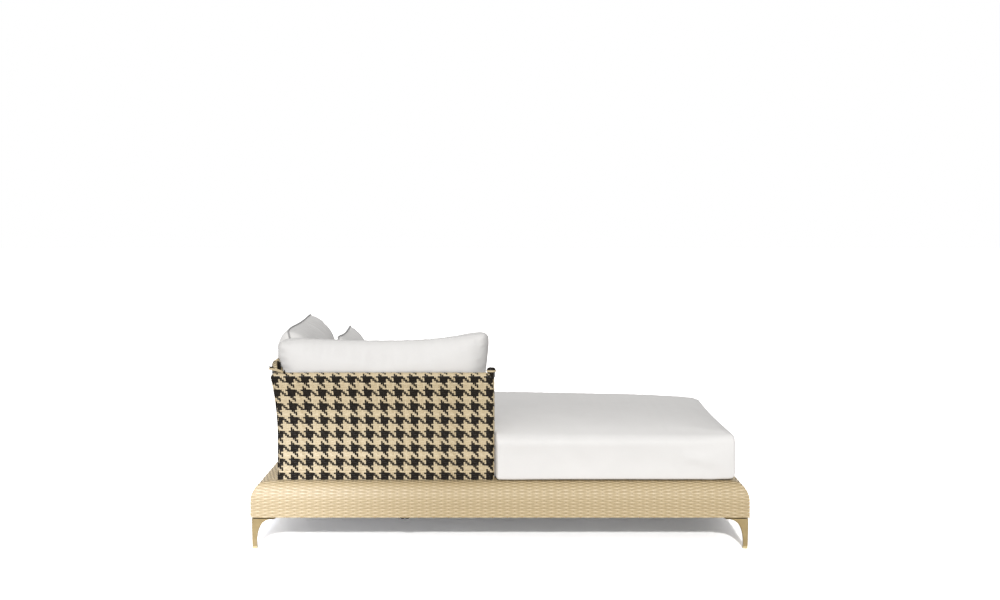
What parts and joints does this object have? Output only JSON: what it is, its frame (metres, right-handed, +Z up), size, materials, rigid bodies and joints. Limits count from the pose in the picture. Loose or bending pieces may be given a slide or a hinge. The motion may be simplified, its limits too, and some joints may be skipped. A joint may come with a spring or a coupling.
{
  "type": "outdoor daybed",
  "caption": "Low outdoor daybed: woven platform on slim metal legs, L-shaped flared back panels in a two-tone houndstooth weave, thick seat cushion, loose back cushions and a throw pillow.",
  "frame": {"origin": "on the floor below the middle of the platform", "axes": "+X along the platform away from the end panel, -Y towards the long back panel, +Z up"},
  "size_m": [2, 1, 0.8496],
  "materials": {
    "tan_weave": "flat tan fibre strands in plain weave",
    "houndstooth_weave": "dark brown and tan fibre strands in a houndstooth weave",
    "frame_aluminium": "powder-coated tube",
    "gold_cast_metal": "satin champagne gold",
    "glide_plastic": "moulded",
    "fastener_steel": "plain",
    "dark_bracket": "dark satin",
    "canvas": "off-white outdoor canvas"
  },
  "bodies": {
    "base": {"base_weave": "tan_weave", "near_panel_weave": "houndstooth_weave", "end_panel_weave": "houndstooth_weave", "lower_rail_near": "frame_aluminium", "lower_rail_far": "frame_aluminium", "lower_rail_left": "frame_aluminium", "lower_rail_right": "frame_aluminium", "upper_rail_near": "frame_aluminium", "upright_near_middle": "frame_aluminium", "upper_rail_far": "frame_aluminium", "upright_far_middle": "frame_aluminium", "deck_crossbar_1": "frame_aluminium", "deck_crossbar_2": "frame_aluminium", "deck_crossbar_3": "frame_aluminium", "deck_crossbar_4": "frame_aluminium", "deck_crossbar_5": "frame_aluminium", "upright_near_left": "frame_aluminium", "gusset_near_left": "frame_aluminium", "leg_near_left": "gold_cast_metal", "glide_near_left": "glide_plastic", "leg_bolt_near_left_1": "fastener_steel", "leg_bolt_near_left_2": "fastener_steel", "upright_near_right": "frame_aluminium", "gusset_near_right": "frame_aluminium", "leg_near_right": "gold_cast_metal", "glide_near_right": "glide_plastic", "leg_bolt_near_right_1": "fastener_steel", "leg_bolt_near_right_2": "fastener_steel", "upright_far_left": "frame_aluminium", "gusset_far_left": "frame_aluminium", "leg_far_left": "gold_cast_metal", "glide_far_left": "glide_plastic", "leg_bolt_far_left_1": "fastener_steel", "leg_bolt_far_left_2": "fastener_steel", "upright_far_right": "frame_aluminium", "gusset_far_right": "frame_aluminium", "leg_far_right": "gold_cast_metal", "glide_far_right": "glide_plastic", "leg_bolt_far_right_1": "fastener_steel", "leg_bolt_far_right_2": "fastener_steel", "link_bracket": "dark_bracket", "link_bracket_screw": "fastener_steel", "near_top_tube": "frame_aluminium", "end_top_tube": "frame_aluminium", "near_foot_rail_1": "frame_aluminium", "near_foot_rail_2": "frame_aluminium", "end_foot_rail": "frame_aluminium", "corner_post": "frame_aluminium", "near_mid_post": "frame_aluminium", "near_end_post": "frame_aluminium", "end_far_post": "frame_aluminium", "corner_post_bolt": "fastener_steel", "near_mid_post_bolt": "fastener_steel", "near_end_post_bolt": "fastener_steel", "end_far_post_bolt": "fastener_steel"},
    "seat_cushion": {"seat_cushion": "canvas"},
    "back_cushion": {"back_cushion": "canvas"},
    "end_cushion": {"end_cushion": "canvas"},
    "throw_pillow": {"throw_pillow": "canvas"}
  },
  "joints": [
    {"name": "seat_cushion_lift", "type": "slide", "parent": "base", "child": "seat_cushion", "axis": [0, 0, 1], "range_m": [0, 0.5]},
    {"name": "back_cushion_lift", "type": "slide", "parent": "seat_cushion", "child": "back_cushion", "axis": [0, 0, 1], "range_m": [0, 0.35]},
    {"name": "end_cushion_lift", "type": "slide", "parent": "seat_cushion", "child": "end_cushion", "axis": [0, 0, 1], "range_m": [0, 0.35]},
    {"name": "throw_pillow_lift", "type": "slide", "parent": "end_cushion", "child": "throw_pillow", "axis": [0, 0, 1], "range_m": [0, 0.4]}
  ]
}
